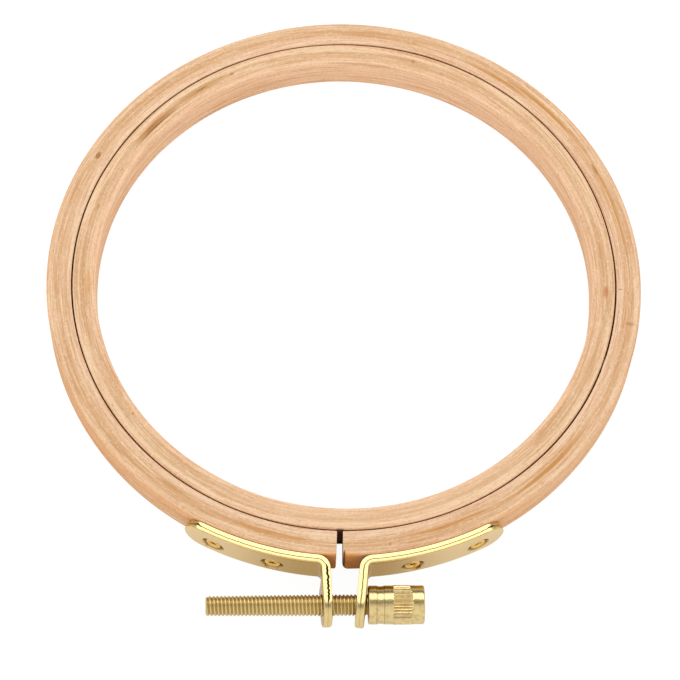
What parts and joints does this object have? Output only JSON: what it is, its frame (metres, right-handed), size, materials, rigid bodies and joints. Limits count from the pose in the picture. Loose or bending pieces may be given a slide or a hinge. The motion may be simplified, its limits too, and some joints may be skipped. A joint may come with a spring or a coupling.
{
  "type": "embroidery hoop",
  "caption": "Round wooden embroidery hoop: an inner ring lifts out of a split outer ring, and a thumb screw through two riveted metal lugs draws the split shut.",
  "frame": {"origin": "middle of the two rings, on their axis, half way up their height", "axes": "+Z along the rings' axis; the split, the lugs and the thumb screw are at -Y, and the knob is on the +X side"},
  "size_m": [0.1142, 0.1268, 0.0074],
  "materials": {
    "inner_ring_wood": "fine-sanded and waxed beech, satin",
    "outer_ring_wood": "fine-sanded and waxed beech, satin",
    "bracket_plate": "bright brass plate over stamped strip, satin faces and shiny sheared edges",
    "rivet_brass": "rolled tubular rivet, bright",
    "rod_brass": "rolled thread, plain brass",
    "knob_brass": "turned and knurled, plain brass"
  },
  "bodies": {
    "root": {"outer_ring": "outer_ring_wood", "right_bracket": "bracket_plate", "right_rivet_by_lug": "rivet_brass", "right_rivet_by_tip": "rivet_brass"},
    "left_side": {"left_bracket": "bracket_plate", "left_rivet_by_lug": "rivet_brass", "left_rivet_by_tip": "rivet_brass"},
    "thumb_screw": {"threaded_rod": "rod_brass", "knurled_knob": "knob_brass"},
    "inner": {"inner_ring": "inner_ring_wood"}
  },
  "joints": [
    {"name": "screw_turn", "type": "hinge", "parent": "root", "child": "thumb_screw", "pos_m": [0, -0.0655, 0], "axis": [0.9996, 0.0297, 0], "range_deg": [0, 3600]},
    {"name": "hoop_open", "type": "hinge", "parent": "root", "child": "left_side", "pos_m": [-0.00905, 0.05397, 0], "axis": [0, 0, -1], "range_deg": [0, 3.35], "deforming": ["outer_ring"]},
    {"name": "inner_ring_lift", "type": "slide", "parent": "root", "child": "inner", "axis": [0, 0, 1], "range_m": [0, 0.015]}
  ],
  "couplings": [
    {"joint": "hoop_open", "follows": "screw_turn", "ratio": 0.00093043}
  ]
}
